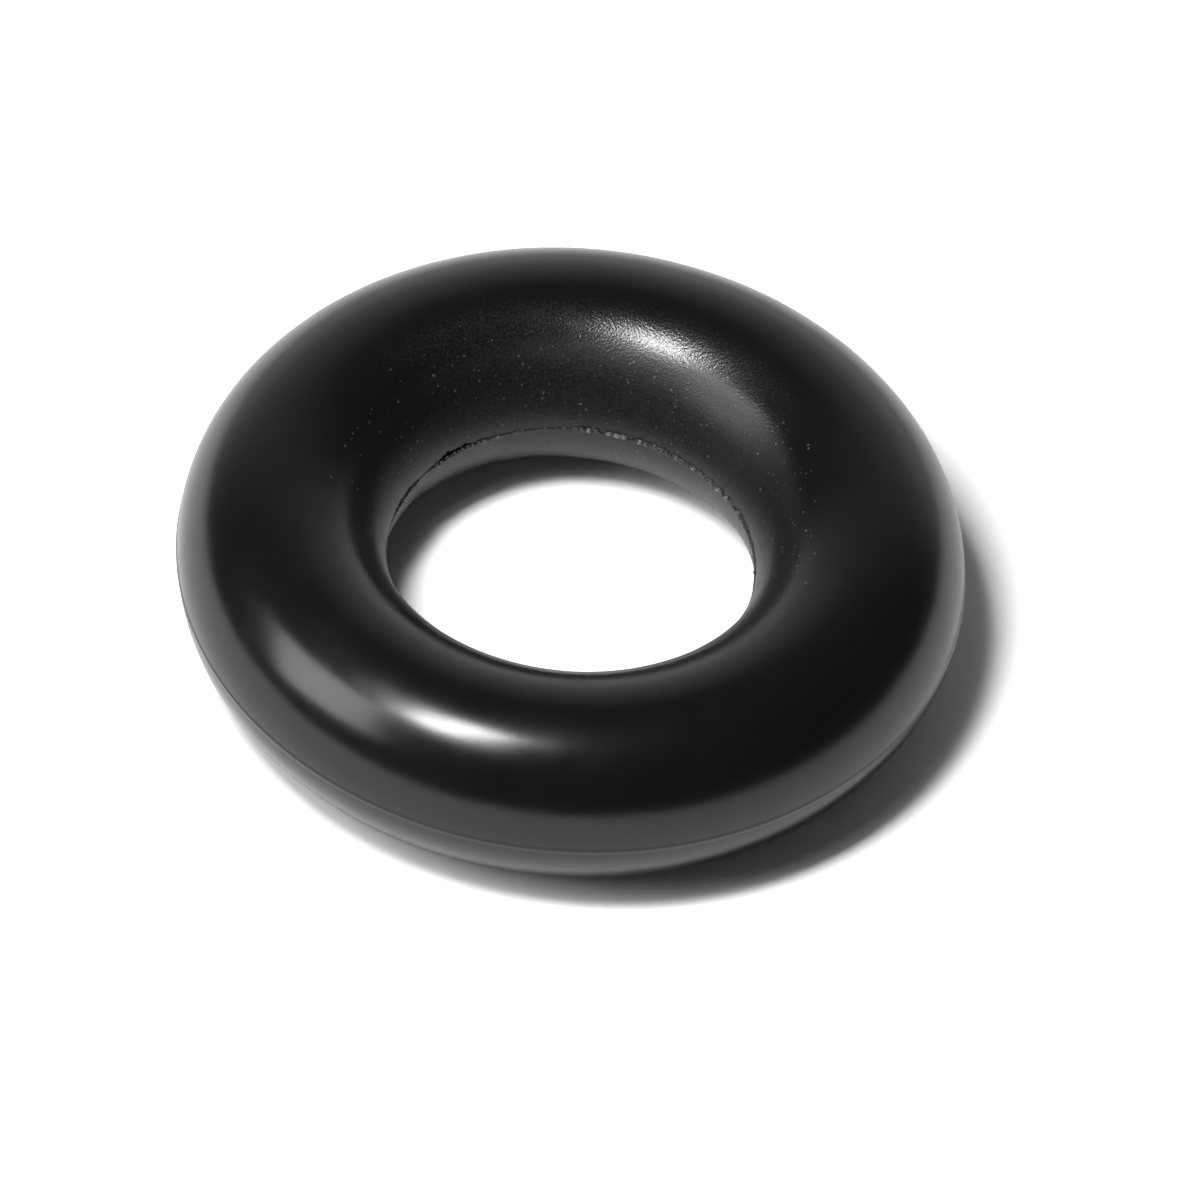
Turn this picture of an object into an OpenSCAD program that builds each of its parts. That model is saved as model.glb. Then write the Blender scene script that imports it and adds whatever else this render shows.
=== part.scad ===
// Moulded rubber o-ring: a round cord closed into a ring, lying flat on its side.
// The two mould halves meet at mid-height and leave a line round the outside and the bore.
// Outside, the flash has been trimmed to a fine ridge. In the bore it was torn off, and
// its ragged stub stands in a shallow recess. Units are millimetres, the ring rests on
// z = 0 and its axis is the Z axis.

/* [Ring] */
// Inside diameter, measured across the edge of the torn flash
inner_d = 5.5; // [4.5:0.1:9]
// Thickness of the cord
section_d = 3; // [2.4:0.1:4]

/* [Trimmed ridge outside] */
// How far the ridge stands out from the round cord
ridge_h = 0.02; // [0.015:0.005:0.05]
// Width of the ridge's cut edge, along the axis
ridge_edge_w = 0.03; // [0.02:0.01:0.08]
// Width of each sloping flank of the ridge, along the axis
ridge_flank_w = 0.04; // [0.02:0.01:0.06]

/* [Torn flash in the bore] */
// Thickness of the flash, along the axis
flash_w = 0.08; // [0.04:0.01:0.12]
// How far the stub's edge stands above the floor of the recess
stub_h = 0.025; // [0.02:0.005:0.05]
// Width of the recess on each side of the flash, along the axis
recess_w = 0.07; // [0.04:0.01:0.12]
// Number of nicks torn out of the stub's edge
nicks = 23; // [5:1:36]
// Width of the widest nick, round the bore
nick_w = 0.16; // [0.08:0.01:0.2]

/* [Hidden] */
$fn = 180;

bore_r = inner_d / 2;                    // edge of the flash stub
outer_r = bore_r + section_d;            // round cord, outside
ring_r = (bore_r + outer_r) / 2;         // centre line of the cord
mid_z = section_d / 2;                   // plane where the mould halves meet
recess_full_w = flash_w + 2 * recess_w;
root = section_d / 10;                   // how deep the stub is rooted in the cord
nick_angle = 360 / nicks;                // mean spacing of the nicks

// An irregular but repeatable share from 0 to 1 for nick i. Each seed gives a new series.
function ragged(i, seed) =
    let (x = sin(i * 127.1 + seed * 311.7) * 43.7585) x - floor(x);

// Direction of nick i: its even place, moved by up to a third of the spacing.
function nick_dir(i) = (i + (ragged(i, 1) - 0.5) * 2 / 3) * nick_angle;

// Width of nick i at the stub's edge, from half to all of nick_w.
function nick_width(i) = nick_w * (0.5 + 0.5 * ragged(i, 2));

// Depth of nick i, from a third to nearly all of the stub's height.
function nick_depth(i) = stub_h * (0.35 + 0.6 * ragged(i, 3));

// Radius of the round tool that cuts a nick w wide and h deep into a straight edge.
function tool_r(w, h) = (w * w / 4 + h * h) / (2 * h);

// The section modules draw in the half plane that is turned round the axis: x is the
// distance from the axis and y the height.
module cord_section() {
    translate([ring_r, mid_z]) circle(d = section_d);
}

// The flanks run on below the round surface, to the same depth as the ridge is high.
module ridge_section() {
    base_w = ridge_edge_w + 4 * ridge_flank_w;
    polygon([
        [outer_r - ridge_h, mid_z - base_w / 2],
        [outer_r + ridge_h, mid_z - ridge_edge_w / 2],
        [outer_r + ridge_h, mid_z + ridge_edge_w / 2],
        [outer_r - ridge_h, mid_z + base_w / 2]
    ]);
}

module recess_section() {
    translate([bore_r - root, mid_z - recess_full_w / 2])
        square([root + stub_h, recess_full_w]);
}

module stub_section() {
    translate([bore_r, mid_z - flash_w / 2]) square([root, flash_w]);
}

// The cord with its trimmed ridge outside and the recess in its bore.
module cord() {
    difference() {
        union() {
            rotate_extrude() cord_section();
            rotate_extrude() ridge_section();
        }
        rotate_extrude() recess_section();
    }
}

// The stub of the flash, with nicks torn out of its edge.
module torn_stub() {
    difference() {
        rotate_extrude() stub_section();
        for (i = [0 : nicks - 1]) {
            r = tool_r(nick_width(i), nick_depth(i));
            rotate(nick_dir(i))
                translate([bore_r + nick_depth(i) - r, 0, mid_z - flash_w])
                    cylinder(r = r, h = 2 * flash_w);
        }
    }
}

module ring() {
    color([0.09, 0.09, 0.095]) {
        cord();
        torn_stub();
    }
}

ring();
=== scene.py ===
"""A moulded rubber o-ring, with a trimmed mould line outside and torn flash in its bore."""

import math

import bpy
import bmesh
from mathutils import Matrix, Vector, noise


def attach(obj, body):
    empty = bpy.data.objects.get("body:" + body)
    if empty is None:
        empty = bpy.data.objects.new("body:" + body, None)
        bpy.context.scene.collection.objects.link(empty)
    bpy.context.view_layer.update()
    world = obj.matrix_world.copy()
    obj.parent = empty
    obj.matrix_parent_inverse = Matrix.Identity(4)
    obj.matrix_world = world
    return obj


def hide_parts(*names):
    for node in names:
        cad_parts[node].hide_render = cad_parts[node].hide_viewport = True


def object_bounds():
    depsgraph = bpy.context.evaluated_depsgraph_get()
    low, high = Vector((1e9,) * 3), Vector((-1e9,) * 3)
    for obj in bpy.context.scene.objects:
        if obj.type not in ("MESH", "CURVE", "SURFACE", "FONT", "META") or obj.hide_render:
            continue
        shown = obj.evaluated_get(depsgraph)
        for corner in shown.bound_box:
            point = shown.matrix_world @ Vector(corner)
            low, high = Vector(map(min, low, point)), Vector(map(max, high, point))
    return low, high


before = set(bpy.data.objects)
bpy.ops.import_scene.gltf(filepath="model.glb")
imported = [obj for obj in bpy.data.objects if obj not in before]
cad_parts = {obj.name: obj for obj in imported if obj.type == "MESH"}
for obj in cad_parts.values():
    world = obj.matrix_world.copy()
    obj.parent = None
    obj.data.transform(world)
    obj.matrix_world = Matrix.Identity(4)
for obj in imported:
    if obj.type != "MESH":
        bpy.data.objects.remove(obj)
CAD_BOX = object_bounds()

bl_info = {
    "name": "Moulded O-ring",
    "version": (1, 0, 0),
    "blender": (4, 5, 0),
    "location": "3D View > Sidebar > O-ring",
    "description": "Models a rubber o-ring and the studio that it lies in",
    "category": "Object",
}

MM = 0.001
MID_Z = (CAD_BOX[0].z + CAD_BOX[1].z) / 2
CORD_D = 2 * MID_Z
CUT_GAP = 0.00001 * MM
MERGE_GAP = 0.0001 * MM


# Sizes and colours that a user would change


class RingSizes(bpy.types.PropertyGroup):
    inner_d: bpy.props.FloatProperty(
        name="Inside diameter",
        description="Diameter of the bore between the round walls of the cord",
        default=5.5 * MM,
        min=1 * MM,
        unit="LENGTH",
    )
    cord_d: bpy.props.FloatProperty(
        name="Cord",
        description="Thickness of the round cord",
        default=CORD_D,
        min=0.5 * MM,
        unit="LENGTH",
    )
    steps_round: bpy.props.IntProperty(
        name="Steps round the ring",
        description="Faces in one turn round the ring",
        default=1080,
        min=90,
        max=1200,
    )
    steps_cord: bpy.props.IntProperty(
        name="Steps round the cord",
        description="Faces in one turn round the cord",
        default=64,
        min=24,
        max=96,
    )
    ridge_h: bpy.props.FloatProperty(
        name="Ridge height",
        description="How far the trimmed mould line stands out",
        default=0.014 * MM,
        min=0,
        unit="LENGTH",
    )
    ridge_edge_w: bpy.props.FloatProperty(
        name="Ridge edge",
        description="Width of the ridge's cut edge",
        default=0.03 * MM,
        min=0.005 * MM,
        unit="LENGTH",
    )
    ridge_flank_w: bpy.props.FloatProperty(
        name="Ridge flank",
        description="Width of the ridge's upper side",
        default=0.025 * MM,
        min=0.005 * MM,
        unit="LENGTH",
    )
    ridge_drop: bpy.props.FloatProperty(
        name="Ridge drop",
        description="How far the ridge lies below the middle of the cord",
        default=0.055 * MM,
        min=0,
        unit="LENGTH",
    )
    swell_h: bpy.props.FloatProperty(
        name="Swell",
        description="How far both halves swell into the bore towards the mould line",
        default=0.053 * MM,
        min=0,
        unit="LENGTH",
    )
    step_h: bpy.props.FloatProperty(
        name="Step in the bore",
        description="How far the lower half stands in past the upper one",
        default=0.022 * MM,
        min=0,
        unit="LENGTH",
    )
    lip_r: bpy.props.FloatProperty(
        name="Lip",
        description="Radius of the lip on the step",
        default=0.016 * MM,
        min=0.001 * MM,
        unit="LENGTH",
    )
    nick_h: bpy.props.FloatProperty(
        name="Nicks",
        description="How ragged the torn lip is",
        default=0.021 * MM,
        min=0,
        unit="LENGTH",
    )
    wander_h: bpy.props.FloatProperty(
        name="Wander",
        description="How far the torn line wanders up and down",
        default=0.015 * MM,
        min=0,
        unit="LENGTH",
    )
    tear_h: bpy.props.FloatProperty(
        name="Tear",
        description="Height of the shallow tears over the lip",
        default=0.01 * MM,
        min=0,
        unit="LENGTH",
    )


class RubberLook(bpy.types.PropertyGroup):
    colour: bpy.props.FloatVectorProperty(
        name="Rubber",
        description="Colour of the carbon-black rubber",
        subtype="COLOR",
        default=(0.005, 0.005, 0.005),
        min=0,
        max=1,
    )
    roughness: bpy.props.FloatProperty(
        name="Roughness",
        description="Roughness of the moulded skin",
        default=0.22,
        min=0,
        max=1,
        subtype="FACTOR",
    )
    bore_roughness: bpy.props.FloatProperty(
        name="Roughness in the bore",
        description="Roughness of the duller skin towards the bore",
        default=0.42,
        min=0.05,
        max=1,
        subtype="FACTOR",
    )
    outside_share: bpy.props.FloatProperty(
        name="Grain outside",
        description="How much of the bore's grain the outer half has",
        default=0.12,
        min=0,
        max=1,
        subtype="FACTOR",
    )
    bloom_colour: bpy.props.FloatVectorProperty(
        name="Bloom",
        description="Colour of the dull, dusty bloom in the bore",
        default=(0.022, 0.022, 0.022),
        min=0,
        max=1,
        subtype="COLOR",
    )
    torn_colour: bpy.props.FloatVectorProperty(
        name="Torn rubber",
        description="Colour of the rubber where the flash tore off",
        default=(0.018, 0.018, 0.018),
        min=0,
        max=1,
        subtype="COLOR",
    )
    torn_roughness: bpy.props.FloatProperty(
        name="Roughness where torn",
        description="Roughness of the rubber where the flash tore off",
        default=0.5,
        min=0.05,
        max=1,
        subtype="FACTOR",
    )
    # Painted glint: this pale colour on the tall nubs stands in for the lamp's glints on them
    glint_colour: bpy.props.FloatVectorProperty(
        name="Nubs",
        description="Colour of the stretched nubs of flash",
        default=(0.75, 0.75, 0.75),
        min=0,
        max=1,
        subtype="COLOR",
    )
    grain_size: bpy.props.FloatProperty(
        name="Grain",
        description="Size of the grain left by the mould",
        default=0.034 * MM,
        min=0.005 * MM,
        unit="LENGTH",
    )
    grain_depth: bpy.props.FloatProperty(
        name="Grain depth",
        description="Depth of the grain in the bore",
        default=0.0042 * MM,
        min=0,
        unit="LENGTH",
    )
    speck_colour: bpy.props.FloatVectorProperty(
        name="Specks",
        description="Colour of the specks of dust",
        subtype="COLOR",
        default=(0.13, 0.13, 0.13),
        min=0,
        max=1,
    )
    speck_d: bpy.props.FloatProperty(
        name="Speck size",
        description="Width of the widest specks",
        default=0.065 * MM,
        min=0.005 * MM,
        unit="LENGTH",
    )
    speck_gap: bpy.props.FloatProperty(
        name="Speck spacing",
        description="Size of the patches that may each hold one speck",
        default=0.08 * MM,
        min=0.01 * MM,
        unit="LENGTH",
    )
    speck_share: bpy.props.FloatProperty(
        name="Speck share",
        description="Share of the patches in the bore that hold a speck",
        default=0.45,
        min=0,
        max=1,
        subtype="FACTOR",
    )


class StageLook(bpy.types.PropertyGroup):
    floor_grey: bpy.props.FloatProperty(
        name="Floor",
        description="Pale grey of the floor, as its light falls on the ring",
        default=0.85,
        min=0,
        max=1,
        subtype="FACTOR",
    )
    floor_mirrored: bpy.props.FloatProperty(
        name="Floor mirrored",
        description="Brightness of the floor as the rubber mirrors it, where 1 is white",
        default=1.15,
        min=0,
    )
    floor_white: bpy.props.FloatProperty(
        name="Floor in view",
        description="Brightness of the floor as the camera sees it, where 1 is white",
        default=1.5,
        min=0,
    )
    view_elevation: bpy.props.FloatProperty(
        name="View height",
        description="Angle of the camera above the floor",
        default=math.radians(46.44),
        subtype="ANGLE",
        unit="ROTATION",
    )
    view_roll: bpy.props.FloatProperty(
        name="View roll",
        description="How far the camera leans over",
        default=math.radians(5.26),
        subtype="ANGLE",
        unit="ROTATION",
    )
    view_width: bpy.props.FloatProperty(
        name="View width",
        description="Width of the floor that the picture takes in",
        default=17.476 * MM,
        unit="LENGTH",
    )


# Steps that the operators share


def deselect_all():
    if bpy.context.mode != "OBJECT":
        bpy.ops.object.mode_set(mode="OBJECT")
    bpy.ops.object.select_all(action="DESELECT")


def select_only(obj):
    deselect_all()
    obj.select_set(True)
    bpy.context.view_layer.objects.active = obj


def radius_of(point):
    return math.hypot(point.x, point.y)


def select_where(obj, test):
    """Selects, in edit mode, the vertices that the test holds for, and what lies between them."""
    bpy.ops.mesh.select_mode(type="VERT")
    bpy.ops.mesh.select_all(action="DESELECT")
    mesh = bmesh.from_edit_mesh(obj.data)
    for vert in mesh.verts:
        vert.select = test(vert.co)
    mesh.select_flush_mode()
    bmesh.update_edit_mesh(obj.data)


def cut_level(height):
    """Cuts the selected faces at a height."""
    bpy.ops.mesh.bisect(plane_co=(0, 0, height), plane_no=(0, 0, 1), threshold=CUT_GAP)


def spread(factor):
    """Moves the selection out from the axis, or in towards it."""
    bpy.ops.transform.resize(value=(factor, factor, 1), center_override=(0, 0, MID_Z))


def new_material(name):
    material = bpy.data.materials.new(name)
    material.use_nodes = True
    material.node_tree.nodes.clear()
    return material, material.node_tree.nodes, material.node_tree.links


def fade(nodes, links, source, start, end, shape="SMOOTHSTEP"):
    """A value that goes from 0 to 1 as its source goes from start to end."""
    node = nodes.new("ShaderNodeMapRange")
    node.interpolation_type = shape
    node.inputs["From Min"].default_value = start
    node.inputs["From Max"].default_value = end
    links.new(source, node.inputs["Value"])
    return node


# The ring

# Where the flash tore into the upper half: angle, reach to each side, height of the tear
DEEP_TEARS = (
    (19, 3, 0.036 * MM),
    (25.5, 4, 0.030 * MM),
    (62, 8, 0.008 * MM),
    (121, 5, 0.010 * MM),
    (134.5, 11, 0.058 * MM),
    (155, 6, 0.022 * MM),
    (212, 12, 0.045 * MM),
    (263, 8, 0.035 * MM),
    (318, 14, 0.050 * MM),
)
# Nubs of flash left on the lip: angle, reach to each side, how far they stand out
NUBS = (
    (28.8, 1.2, 0.038 * MM),
    (36.2, 1.2, 0.040 * MM),
    (40.4, 1.2, 0.052 * MM),
    (44.6, 0.8, 0.018 * MM),
    (52.2, 1.0, 0.034 * MM),
    (58.8, 0.8, 0.022 * MM),
    (63.8, 0.9, 0.026 * MM),
    (66.6, 0.9, 0.018 * MM),
    (69.9, 0.7, 0.022 * MM),
    (71.7, 1.0, 0.050 * MM),
    (76.9, 1.3, 0.032 * MM),
    (79.2, 1.6, 0.052 * MM),
    (81.9, 1.3, 0.034 * MM),
    (88.2, 1.0, 0.050 * MM),
    (90.4, 0.8, 0.020 * MM),
    (111.4, 0.7, 0.018 * MM),
    (117.2, 0.8, 0.036 * MM),
    (122.0, 1.5, 0.024 * MM),
    (154.0, 0.9, 0.030 * MM),
    (159.5, 1.0, 0.044 * MM),
    (226.0, 1.0, 0.030 * MM),
    (288.0, 1.2, 0.026 * MM),
    (331.0, 0.9, 0.034 * MM),
)
# A nub this tall or taller carries the full painted glint, a pale colour that stands in for the
# lamp's glint on it, and the glint thins out by the power on lower ones
FULL_GLINT_HEIGHT = 0.05 * MM
GLINT_POWER = 1.8
# Level at which the painted glint on the nubs lies, and how far it reaches above and below it
GLINT_LEVEL = -0.024 * MM
GLINT_REACH = 0.036 * MM
# Where the flash came away cleanly: angle and reach to each side
CLEAN_BREAKS = ((103, 14), (116, 6), (146, 6), (172, 12), (240, 12), (345, 14))

# Levels of the fine loops from the mould line, which carry the step and its torn lip
LEDGE = 0.003 * MM
LEVELS_ABOVE = tuple(LEDGE + step * 0.012 * MM for step in range(9))
LEVELS_BELOW = (
    0,
    -0.004 * MM,
    -0.009 * MM,
    -0.015 * MM,
    -0.023 * MM,
    -0.035 * MM,
    -0.05 * MM,
    -0.07 * MM,
    -0.09 * MM,
)

# Noise that makes each form uneven: strength and size of its patches
RAGGED_TEAR = ((1.1, 0.11 * MM), (1.4, 0.04 * MM))
NICKED_LIP = ((0.5, 0.21 * MM), (0.5, 0.08 * MM), (1.6, 0.04 * MM))
WANDERING_LINE = ((0.7, 0.5 * MM), (1.1, 0.1 * MM), (1.6, 0.05 * MM), (1.4, 0.03 * MM))
# The shallow tears: size of their patches, height in the middle of the noise, and its swing
TEAR_PATCH = 0.5 * MM
TEAR_MIDDLE = 0.3
TEAR_SWING = 1.6
# The step's width: size of its patches, and its swing
STEP_PATCH = 1.1 * MM
STEP_SWING = 0.5
# How much calmer the lip and its line, and how much narrower the step, are at a clean break
CALMER = 0.6
NARROWER = 0.7

# Height over which a tear's upper edge fades, and how deep a tear goes at most
TEAR_EDGE = 0.012 * MM
TEAR_DEPTH = 0.05 * MM
# How far the nicks and nubs reach below the mould line, and the wandering to both sides of it
LIP_REACH = 0.05 * MM
WANDER_REACH = 0.12 * MM
# How far the swell reaches above the mould line, as a share of the cord
SWELL_REACH = 0.2
# How far below the mould line the swell begins, and the height over which it grows, as shares
SWELL_FOOT = 0.48
SWELL_RISE = 0.16

# Waviness of the moulded skin
WAVE_SIZE = 0.9 * MM
WAVE_DEPTH = 0.006 * MM


def make_cord(sizes):
    """The round cord, turned once round the axis into a ring."""
    deselect_all()
    bpy.ops.mesh.primitive_circle_add(
        vertices=sizes.steps_cord,
        radius=sizes.cord_d / 2,
        location=((sizes.inner_d + sizes.cord_d) / 2, 0, MID_Z),
        rotation=(math.pi / 2, 0, 0),
    )
    ring = bpy.context.object
    ring.name = ring.data.name = "moulded_ring"
    bpy.ops.object.transform_apply(location=True, rotation=True, scale=True)
    turn = ring.modifiers.new("turn", "SCREW")
    turn.axis = "Z"
    turn.angle = 2 * math.pi
    turn.steps = turn.render_steps = sizes.steps_round
    bpy.ops.object.modifier_apply(modifier=turn.name)
    return ring


def cut_loops(ring, sizes, outside, levels):
    """Cuts fine loops round one wall, at heights from the middle of the cord."""
    ring_r = (sizes.inner_d + sizes.cord_d) / 2
    band = sizes.cord_d / 8
    for level in levels:
        select_where(
            ring,
            lambda p: (radius_of(p) > ring_r) == outside and abs(p.z - MID_Z) < band,
        )
        cut_level(MID_Z + level)


def raise_ridge(ring, sizes):
    """Draws the trimmed mould line out of the outer wall."""
    ring_r = (sizes.inner_d + sizes.cord_d) / 2
    outer_r = ring_r + sizes.cord_d / 2
    top = sizes.ridge_edge_w / 2 - sizes.ridge_drop
    bottom = top - sizes.ridge_edge_w
    foot = bottom - sizes.ridge_flank_w * 2
    cut_loops(ring, sizes, True, (foot, bottom, top, top + sizes.ridge_flank_w))
    tiny = sizes.ridge_edge_w / 100
    select_where(
        ring,
        lambda p: radius_of(p) > ring_r and bottom - tiny < p.z - MID_Z < top + tiny,
    )
    spread((outer_r + sizes.ridge_h) / outer_r)


def patchy(point, size):
    """Smooth noise from about -1 to 1, in patches of a size."""
    return noise.noise(Vector((point.x, point.y, 0)) / size)


def mixed(point, patches):
    """Noise of several patch sizes, added up."""
    return sum(strength * patchy(point, size) for strength, size in patches)


def eased(share):
    """A share kept from 0 to 1, with soft ends."""
    share = min(max(share, 0), 1)
    return share * share * (3 - 2 * share)


def angle_of(point):
    return math.degrees(math.atan2(point.y, point.x)) % 360


def nearness(angle, place, reach):
    """1 at a place on the ring, and 0 at its reach and beyond."""
    return eased(1 - abs((angle - place + 180) % 360 - 180) / reach)


def cleanness(point):
    """1 where the flash came away cleanly, and 0 where it tore."""
    return max(nearness(angle_of(point), *place) for place in CLEAN_BREAKS)


def tear_height(point, sizes):
    """How far the tear reaches up into the upper half."""
    height = sizes.tear_h * max(0, TEAR_MIDDLE + TEAR_SWING * patchy(point, TEAR_PATCH))
    height *= 1 - cleanness(point)
    for place, reach, deep in DEEP_TEARS:
        height += deep * nearness(angle_of(point), place, reach)
    return height * max(1 + mixed(point, RAGGED_TEAR), 0)


def nub_height(point):
    """How far the nubs of flash stand out of the lip."""
    return sum(height * nearness(angle_of(point), place, reach) for place, reach, height in NUBS)


def glint_share(point, level):
    """Painted glint: 1 on the tall nubs, where they hang, and 0 off them."""
    hang = eased(1 - abs(level - GLINT_LEVEL) / GLINT_REACH)
    return min(nub_height(point) / FULL_GLINT_HEIGHT, 1) ** GLINT_POWER * hang


def lip_edge(point, sizes):
    """How far the nubs and nicks of the torn lip stand out."""
    calm = 1 - CALMER * cleanness(point)
    return mixed(point, NICKED_LIP) * (sizes.nick_h * calm) + nub_height(point)


def tear_share(point, level, sizes):
    """1 inside a tear of the upper half, and 0 outside it."""
    return eased((tear_height(point, sizes) - level) / TEAR_EDGE + 0.5)


def upper_half(point, level, sizes):
    """How far the upper half of the bore stands in at a level over the mould line."""
    swell = sizes.swell_h * eased(1 - level / (sizes.cord_d * SWELL_REACH))
    depth = min(tear_height(point, sizes), TEAR_DEPTH)
    return swell - depth * tear_share(point, level, sizes)


def lower_half(point, level, sizes):
    """How far the lower half, which is a little narrower in the bore, stands in at a level."""
    foot = sizes.cord_d * SWELL_FOOT
    under = eased((level + foot) / (sizes.cord_d * SWELL_RISE))
    step = sizes.step_h * (1 + STEP_SWING * patchy(point, STEP_PATCH))
    step *= 1 - NARROWER * cleanness(point)
    move = (sizes.swell_h + step) * under
    move += lip_edge(point, sizes) * eased(1 + level / LIP_REACH)
    drop = min(max(level, -sizes.lip_r), 0)
    return move - sizes.lip_r + math.sqrt(sizes.lip_r**2 - (sizes.lip_r + drop) ** 2)


def tear_flash(ring, sizes):
    """Steps the bore at the mould line, gives the step its torn lip, and marks where the nubs get
    their painted glint.
    """
    ring_r = (sizes.inner_d + sizes.cord_d) / 2
    cut_loops(ring, sizes, False, (*LEVELS_ABOVE, LEDGE / 2, *LEVELS_BELOW))
    bpy.ops.object.mode_set(mode="OBJECT")
    # A second new attribute can move the first in memory, so both are fetched after
    for name in ("torn", "painted_glint"):
        ring.data.attributes.new(name, "FLOAT", "POINT")
    torn = ring.data.attributes["torn"]
    painted_glint = ring.data.attributes["painted_glint"]
    # The ledge is the step's flat top, and the loop halfway up it lies between the two halves
    for vert in ring.data.vertices:
        point = vert.co.copy()
        level = point.z - MID_Z
        if radius_of(point) > ring_r:
            continue
        if level > LEDGE * 0.75:
            move = upper_half(point, level, sizes)
            torn.data[vert.index].value = tear_share(point, level, sizes)
        elif level > LEDGE * 0.25:
            move = (upper_half(point, LEDGE, sizes) + lower_half(point, 0, sizes)) / 2
            torn.data[vert.index].value = 1
        else:
            move = lower_half(point, level, sizes)
            torn.data[vert.index].value = eased(1 + level / sizes.lip_r)
        # Share of the painted glint, a pale colour in place of the lamp's glint on the nubs
        painted_glint.data[vert.index].value = glint_share(point, level)
        vert.co.xy *= 1 - move / radius_of(point)
        wander = mixed(point, WANDERING_LINE) * (1 - CALMER * cleanness(point))
        vert.co.z += sizes.wander_h * wander * eased(1 - abs(level) / WANDER_REACH)
    bpy.ops.object.mode_set(mode="EDIT")


def make_uneven(ring):
    """Gives the moulded surface its slight waviness."""
    waves = bpy.data.textures.new("waves", "CLOUDS")
    waves.noise_scale = WAVE_SIZE
    waves.noise_depth = 1
    step = ring.modifiers.new("waves", "DISPLACE")
    step.texture = waves
    step.texture_coords = "LOCAL"
    step.strength = WAVE_DEPTH
    step.mid_level = 0.5
    select_only(ring)
    bpy.ops.object.modifier_apply(modifier=step.name)


# Where the finish changes, from start to end, as shares of the cord in from its middle
GRAIN_BAND = (-0.08, 0.2)
DULL_BAND = (0.265, 0.36)
DUST_BAND = (0.16, 0.3)
# Where the grain thickens towards +Y, as shares of the ring's radius, and how much the rest has
WORN_BAND = (0.3, 0.8)
WORN_LEAST = 0.6
# Handling marks: their size, the part of the noise that shows, and the roughness that they add
MARK_SIZE = 0.7 * MM
MARK_BAND = (0.3, 0.7)
MARK_ROUGHNESS = (-0.02, 0.03)
# The part of the grain's noise in which the bloom lies
BLOOM_BAND = (0.4, 0.75)


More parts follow.
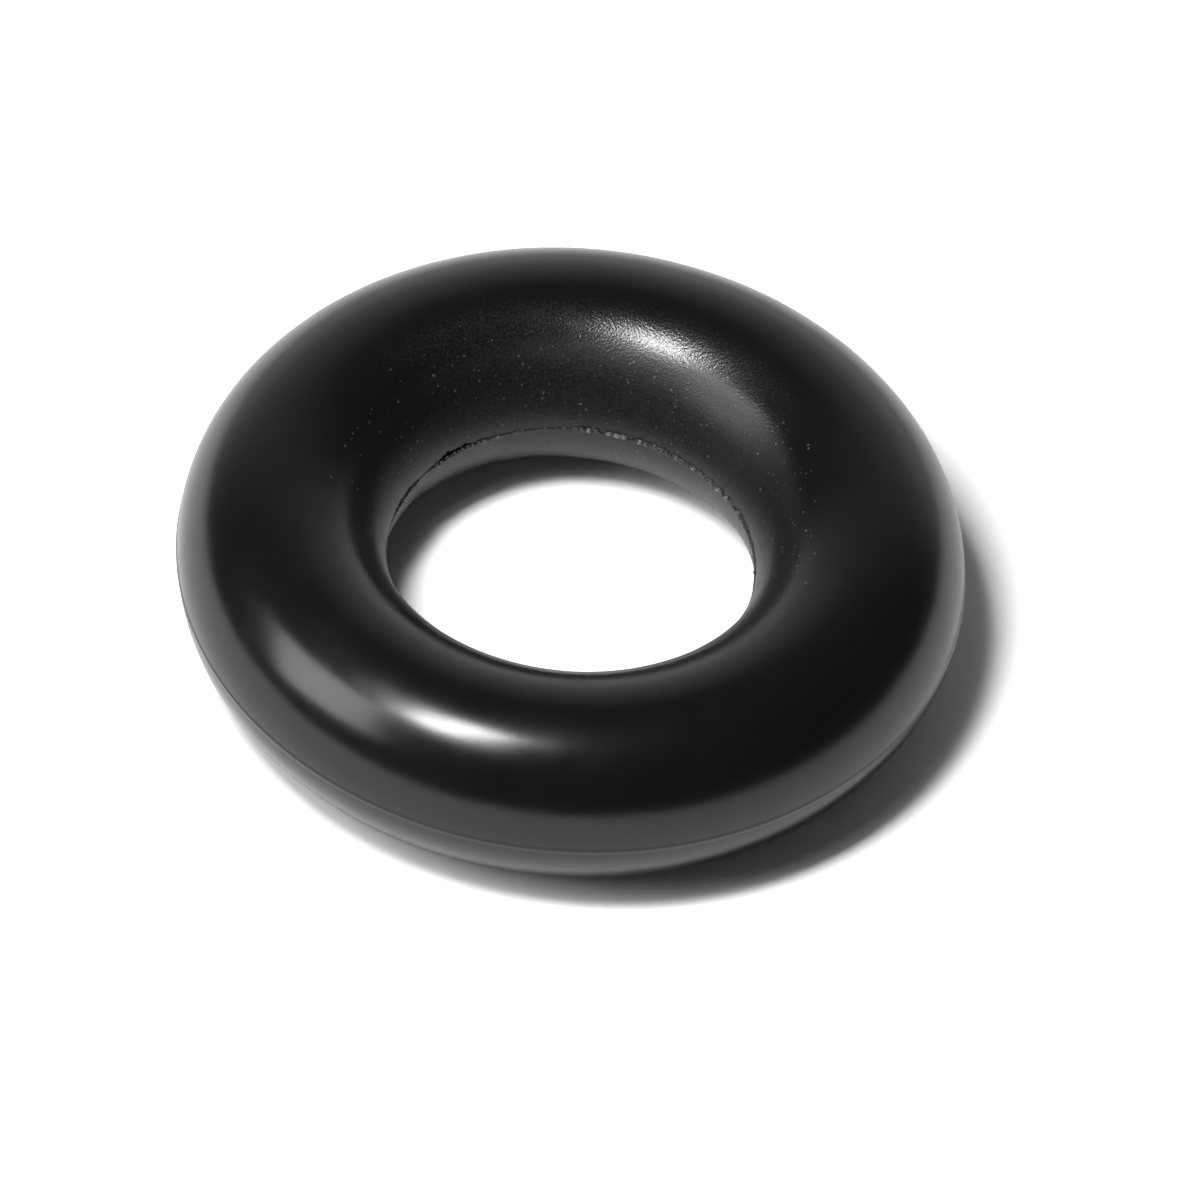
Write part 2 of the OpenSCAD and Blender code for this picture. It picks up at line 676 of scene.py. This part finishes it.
def rubber(look, ring_r, cord_d):
    """Black rubber, smooth outside, grained and dusty towards the bore, with a painted glint on
    the tall nubs of flash.
    """
    material, nodes, links = new_material("black_rubber")
    out = nodes.new("ShaderNodeOutputMaterial")
    skin = nodes.new("ShaderNodeBsdfPrincipled")
    skin.inputs["IOR"].default_value = 1.5
    links.new(skin.outputs["BSDF"], out.inputs["Surface"])

    # How far round towards the bore a point lies, from 0 to 1
    place = nodes.new("ShaderNodeTexCoord")
    flat = nodes.new("ShaderNodeVectorMath")
    flat.operation = "MULTIPLY"
    flat.inputs[1].default_value = (1, 1, 0)
    links.new(place.outputs["Object"], flat.inputs[0])
    reach = nodes.new("ShaderNodeVectorMath")
    reach.operation = "LENGTH"
    links.new(flat.outputs["Vector"], reach.inputs[0])
    radius = reach.outputs["Value"]
    start, end = (ring_r - cord_d * share for share in GRAIN_BAND)
    inward = fade(nodes, links, radius, start, end)
    start, end = (ring_r - cord_d * share for share in DULL_BAND)
    dull = fade(nodes, links, radius, start, end)
    dull.inputs["To Min"].default_value = look.roughness
    dull.inputs["To Max"].default_value = look.bore_roughness
    start, end = (ring_r - cord_d * share for share in DUST_BAND)
    dusty = fade(nodes, links, radius, start, end, "LINEAR")

    # The grain lies thickest on the +Y side of the ring
    sides = nodes.new("ShaderNodeSeparateXYZ")
    links.new(place.outputs["Object"], sides.inputs["Vector"])
    start, end = (ring_r * share for share in WORN_BAND)
    worn = fade(nodes, links, sides.outputs["Y"], start, end)
    worn.inputs["To Min"].default_value = WORN_LEAST
    grainy = nodes.new("ShaderNodeMapRange")
    grainy.inputs["To Min"].default_value = look.outside_share
    links.new(inward.outputs["Result"], grainy.inputs["Value"])
    links.new(worn.outputs["Result"], grainy.inputs["To Max"])

    # Gloss, with faint handling marks
    marks = nodes.new("ShaderNodeTexNoise")
    marks.inputs["Scale"].default_value = 1 / MARK_SIZE
    marks.inputs["Detail"].default_value = 3
    links.new(place.outputs["Object"], marks.inputs["Vector"])
    mark = fade(nodes, links, marks.outputs["Fac"], *MARK_BAND, "LINEAR")
    mark.inputs["To Min"].default_value, mark.inputs["To Max"].default_value = MARK_ROUGHNESS
    torn = nodes.new("ShaderNodeAttribute")
    torn.attribute_name = "torn"
    matt = nodes.new("ShaderNodeMapRange")
    matt.inputs["To Max"].default_value = look.torn_roughness
    links.new(torn.outputs["Fac"], matt.inputs["Value"])
    links.new(dull.outputs["Result"], matt.inputs["To Min"])
    gloss = nodes.new("ShaderNodeMath")
    gloss.operation = "ADD"
    links.new(matt.outputs["Result"], gloss.inputs[0])
    links.new(mark.outputs["Result"], gloss.inputs[1])
    links.new(gloss.outputs["Value"], skin.inputs["Roughness"])

    # Specks of dust and stray crumbs of rubber
    cells = nodes.new("ShaderNodeTexVoronoi")
    cells.inputs["Scale"].default_value = 1 / look.speck_gap
    links.new(place.outputs["Object"], cells.inputs["Vector"])
    dot = nodes.new("ShaderNodeMapRange")
    dot.interpolation_type = "SMOOTHSTEP"
    dot.inputs["From Max"].default_value = 0
    links.new(cells.outputs["Distance"], dot.inputs["Value"])
    lot = nodes.new("ShaderNodeSeparateColor")
    links.new(cells.outputs["Color"], lot.inputs["Color"])
    # Radius of each speck, from a third of the widest up, measured in patches
    width = nodes.new("ShaderNodeMapRange")
    width.inputs["To Min"].default_value = look.speck_d / look.speck_gap / 6
    width.inputs["To Max"].default_value = look.speck_d / look.speck_gap / 2
    links.new(lot.outputs["Blue"], width.inputs["Value"])
    links.new(width.outputs["Result"], dot.inputs["From Min"])
    kept = nodes.new("ShaderNodeMath")
    kept.operation = "LESS_THAN"
    links.new(lot.outputs["Red"], kept.inputs[0])
    rarity = nodes.new("ShaderNodeMath")
    rarity.operation = "MULTIPLY"
    rarity.inputs[1].default_value = look.speck_share
    links.new(dusty.outputs["Result"], rarity.inputs[0])
    links.new(rarity.outputs["Value"], kept.inputs[1])
    speck = nodes.new("ShaderNodeMath")
    speck.operation = "MULTIPLY"
    links.new(dot.outputs["Result"], speck.inputs[0])
    links.new(kept.outputs["Value"], speck.inputs[1])
    pale = nodes.new("ShaderNodeMath")
    pale.operation = "MULTIPLY"
    links.new(speck.outputs["Value"], pale.inputs[0])
    links.new(lot.outputs["Green"], pale.inputs[1])

    # Grain, and the mottled bloom that lies in it
    grain = nodes.new("ShaderNodeTexNoise")
    grain.inputs["Scale"].default_value = 1 / look.grain_size
    grain.inputs["Detail"].default_value = 2
    links.new(place.outputs["Object"], grain.inputs["Vector"])
    grained = nodes.new("ShaderNodeMath")
    grained.operation = "MULTIPLY"
    links.new(grain.outputs["Fac"], grained.inputs[0])
    links.new(grainy.outputs["Result"], grained.inputs[1])
    mottle = fade(nodes, links, grained.outputs["Value"], *BLOOM_BAND, "LINEAR")
    bloom = nodes.new("ShaderNodeMix")
    bloom.data_type = "RGBA"
    bloom.inputs["A"].default_value = (*look.colour, 1)
    bloom.inputs["B"].default_value = (*look.bloom_colour, 1)
    links.new(mottle.outputs["Result"], bloom.inputs["Factor"])
    raw = nodes.new("ShaderNodeMix")
    raw.data_type = "RGBA"
    raw.inputs["B"].default_value = (*look.torn_colour, 1)
    links.new(torn.outputs["Fac"], raw.inputs["Factor"])
    links.new(bloom.outputs["Result"], raw.inputs["A"])
    tone = nodes.new("ShaderNodeMix")
    tone.data_type = "RGBA"
    tone.inputs["B"].default_value = (*look.speck_colour, 1)
    links.new(pale.outputs["Value"], tone.inputs["Factor"])
    links.new(raw.outputs["Result"], tone.inputs["A"])
    # Painted glint: the tall nubs turn pale, in place of the lamp's glint on them
    painted_glint = nodes.new("ShaderNodeAttribute")
    painted_glint.attribute_name = "painted_glint"
    glinted = nodes.new("ShaderNodeMix")
    glinted.data_type = "RGBA"
    glinted.inputs["B"].default_value = (*look.glint_colour, 1)
    links.new(painted_glint.outputs["Fac"], glinted.inputs["Factor"])
    links.new(tone.outputs["Result"], glinted.inputs["A"])
    links.new(glinted.outputs["Result"], skin.inputs["Base Color"])

    # Relief
    relief = nodes.new("ShaderNodeBump")
    relief.inputs["Distance"].default_value = look.grain_depth
    links.new(grained.outputs["Value"], relief.inputs["Height"])
    crumbs = nodes.new("ShaderNodeBump")
    crumbs.inputs["Distance"].default_value = look.speck_d / 20
    links.new(speck.outputs["Value"], crumbs.inputs["Height"])
    links.new(relief.outputs["Normal"], crumbs.inputs["Normal"])
    links.new(crumbs.outputs["Normal"], skin.inputs["Normal"])
    return material


class ORING_OT_moulded_ring(bpy.types.Operator):
    """Models the ring in one piece, with its mould line and its torn flash"""

    bl_idname = "oring.moulded_ring"
    bl_label = "Moulded ring"

    def execute(self, context):
        sizes = context.scene.ring_sizes
        look = context.scene.rubber_look
        ring = make_cord(sizes)
        bpy.ops.object.mode_set(mode="EDIT")
        raise_ridge(ring, sizes)
        tear_flash(ring, sizes)
        bpy.ops.mesh.select_all(action="SELECT")
        bpy.ops.mesh.remove_doubles(threshold=MERGE_GAP)
        bpy.ops.mesh.normals_make_consistent(inside=False)
        bpy.ops.object.mode_set(mode="OBJECT")
        bpy.ops.object.shade_smooth()
        make_uneven(ring)
        ring_r = (sizes.inner_d + sizes.cord_d) / 2
        ring.data.materials.append(rubber(look, ring_r, sizes.cord_d))
        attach(ring, "root")
        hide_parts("ring")
        return {"FINISHED"}


# The studio


FLOOR_SIZE = 1.2
# Lamps: name, direction, distance, width and height, share of the light, turn
LAMPS = (
    ("key_lamp", (-0.285, -0.246, 0.927), 0.10, (0.016, 0.03), 0.69, 0.0),
    ("key_glow", (-0.31, -0.262, 0.914), 0.101, (0.044, 0.044), 0.13, 0.0),
    ("side_lamp", (-0.79, -0.25, 0.56), 0.12, (0.064, 0.066), 0.27, math.radians(25)),
)
# The wall behind the ring: where it stands and how high it reaches, as parts of a ray's direction
WALL_BAND = (0.55, 1.0)
WALL_HEIGHTS = (0.05, 0.4)
# Its brightness at those heights, and that of the rest of the room
WALL_LEVELS = (0.896, 0.544)
ROOM_LEVEL = 0.036
# Where the room turns white below the floor
BELOW_FLOOR = (-0.01, -0.02)


def mirrored_rays(nodes, links, rays):
    """1 for the rays that rubber, metal or glass mirrors or lets through."""
    mirrored = nodes.new("ShaderNodeMath")
    mirrored.operation = "MAXIMUM"
    links.new(rays.outputs["Is Glossy Ray"], mirrored.inputs[0])
    links.new(rays.outputs["Is Transmission Ray"], mirrored.inputs[1])
    return mirrored


def make_floor(look):
    deselect_all()
    bpy.ops.mesh.primitive_plane_add(size=FLOOR_SIZE, location=(0, 0, 0))
    floor = bpy.context.object
    floor.name = "floor"
    material, nodes, links = new_material("pale_floor")
    out = nodes.new("ShaderNodeOutputMaterial")
    rays = nodes.new("ShaderNodeLightPath")
    mirrored = mirrored_rays(nodes, links, rays)
    tone = nodes.new("ShaderNodeMapRange")
    tone.inputs["To Min"].default_value = look.floor_grey
    tone.inputs["To Max"].default_value = look.floor_mirrored
    links.new(mirrored.outputs["Value"], tone.inputs["Value"])
    white = nodes.new("ShaderNodeMapRange")
    white.inputs["To Max"].default_value = look.floor_white
    links.new(rays.outputs["Is Camera Ray"], white.inputs["Value"])
    links.new(tone.outputs["Result"], white.inputs["To Min"])
    surface = nodes.new("ShaderNodeBsdfDiffuse")
    links.new(white.outputs["Result"], surface.inputs["Color"])
    links.new(surface.outputs["BSDF"], out.inputs["Surface"])
    floor.data.materials.append(material)


def make_lamp(name, direction, distance, size, share, roll):
    """A rectangular lamp that gives its share of a plain level of light on the floor."""
    data = bpy.data.lights.new(name, "AREA")
    data.shape = "RECTANGLE"
    data.size, data.size_y = size
    away = Vector(direction).normalized()
    data.energy = share * math.pi**2 * distance**2 / away.z
    lamp = bpy.data.objects.new(name, data)
    bpy.context.scene.collection.objects.link(lamp)
    turn = away.to_track_quat("Z", "Y").to_matrix() @ Matrix.Rotation(roll, 3, "Z")
    lamp.matrix_world = Matrix.Translation(away * distance) @ turn.to_4x4()


def make_world():
    """A dim room with a pale wall behind the ring, and white below the floor."""
    world = bpy.data.worlds.new("studio")
    bpy.context.scene.world = world
    world.use_nodes = True
    nodes, links = world.node_tree.nodes, world.node_tree.links
    nodes.clear()
    out = nodes.new("ShaderNodeOutputWorld")
    room = nodes.new("ShaderNodeBackground")
    room.inputs["Color"].default_value = (1, 1, 1, 1)
    links.new(room.outputs["Background"], out.inputs["Surface"])
    way = nodes.new("ShaderNodeTexCoord")
    parts = nodes.new("ShaderNodeSeparateXYZ")
    links.new(way.outputs["Generated"], parts.inputs["Vector"])
    behind = fade(nodes, links, parts.outputs["Y"], *WALL_BAND)
    low = fade(nodes, links, parts.outputs["Z"], *WALL_HEIGHTS, "LINEAR")
    low.inputs["To Min"].default_value, low.inputs["To Max"].default_value = WALL_LEVELS
    wall = nodes.new("ShaderNodeMath")
    wall.operation = "MULTIPLY"
    links.new(behind.outputs["Result"], wall.inputs[0])
    links.new(low.outputs["Result"], wall.inputs[1])
    total = nodes.new("ShaderNodeMath")
    total.operation = "ADD"
    total.inputs[1].default_value = ROOM_LEVEL
    links.new(wall.outputs["Value"], total.inputs[0])
    rays = nodes.new("ShaderNodeLightPath")
    seen = nodes.new("ShaderNodeMath")
    seen.operation = "MAXIMUM"
    links.new(rays.outputs["Is Camera Ray"], seen.inputs[0])
    links.new(mirrored_rays(nodes, links, rays).outputs["Value"], seen.inputs[1])
    below = fade(nodes, links, parts.outputs["Z"], *BELOW_FLOOR, "LINEAR")
    white = nodes.new("ShaderNodeMath")
    white.operation = "MULTIPLY_ADD"
    links.new(seen.outputs["Value"], white.inputs[0])
    links.new(below.outputs["Result"], white.inputs[1])
    links.new(total.outputs["Value"], white.inputs[2])
    links.new(white.outputs["Value"], room.inputs["Strength"])


def make_camera(look):
    """A camera with no perspective, as of a very long lens, aimed beside the ring's centre."""
    aim_right, aim_up = 0.425 * MM, -0.550 * MM
    distance = 0.2
    elevation, roll = look.view_elevation, look.view_roll
    forward = Vector((0, math.cos(elevation), -math.sin(elevation)))
    level = Vector((1, 0, 0))
    upright = Vector((0, math.sin(elevation), math.cos(elevation)))
    right = math.cos(roll) * level + math.sin(roll) * upright
    up = math.cos(roll) * upright - math.sin(roll) * level
    data = bpy.data.cameras.new("camera")
    data.type = "ORTHO"
    data.ortho_scale = look.view_width
    data.clip_start = 0.01
    data.clip_end = 2
    camera = bpy.data.objects.new("camera", data)
    bpy.context.scene.collection.objects.link(camera)
    turn = Matrix((right, up, -forward)).transposed()
    place = Vector((0, 0, MID_Z)) - forward * distance + right * aim_right + up * aim_up
    camera.matrix_world = Matrix.Translation(place) @ turn.to_4x4()
    bpy.context.scene.camera = camera


class ORING_OT_stage(bpy.types.Operator):
    """Sets up the floor, the lamps and the camera"""

    bl_idname = "oring.stage"
    bl_label = "Stage"

    def execute(self, context):
        look = context.scene.stage_look
        context.scene.view_settings.view_transform = "Standard"
        make_floor(look)
        for lamp in LAMPS:
            make_lamp(*lamp)
        make_world()
        make_camera(look)
        return {"FINISHED"}


class ORING_PT_sidebar(bpy.types.Panel):
    """Lists the sizes, the looks and the steps"""

    bl_label = "O-ring"
    bl_space_type = "VIEW_3D"
    bl_region_type = "UI"
    bl_category = "O-ring"

    def draw(self, context):
        column = self.layout.column()
        for name in ("ring_sizes", "rubber_look", "stage_look"):
            group = getattr(context.scene, name)
            for key in type(group).__annotations__:
                column.prop(group, key)
        for step in STEPS:
            column.operator(step)


CLASSES = (
    RingSizes,
    RubberLook,
    StageLook,
    ORING_OT_moulded_ring,
    ORING_OT_stage,
    ORING_PT_sidebar,
)
STEPS = (ORING_OT_moulded_ring.bl_idname, ORING_OT_stage.bl_idname)


def register():
    for cls in CLASSES:
        bpy.utils.register_class(cls)
    bpy.types.Scene.ring_sizes = bpy.props.PointerProperty(type=RingSizes)
    bpy.types.Scene.rubber_look = bpy.props.PointerProperty(type=RubberLook)
    bpy.types.Scene.stage_look = bpy.props.PointerProperty(type=StageLook)


def unregister():
    del bpy.types.Scene.stage_look
    del bpy.types.Scene.rubber_look
    del bpy.types.Scene.ring_sizes
    for cls in reversed(CLASSES):
        bpy.utils.unregister_class(cls)


def main():
    register()
    bpy.ops.oring.moulded_ring()
    bpy.ops.oring.stage()


if __name__ == "__main__":
    main()
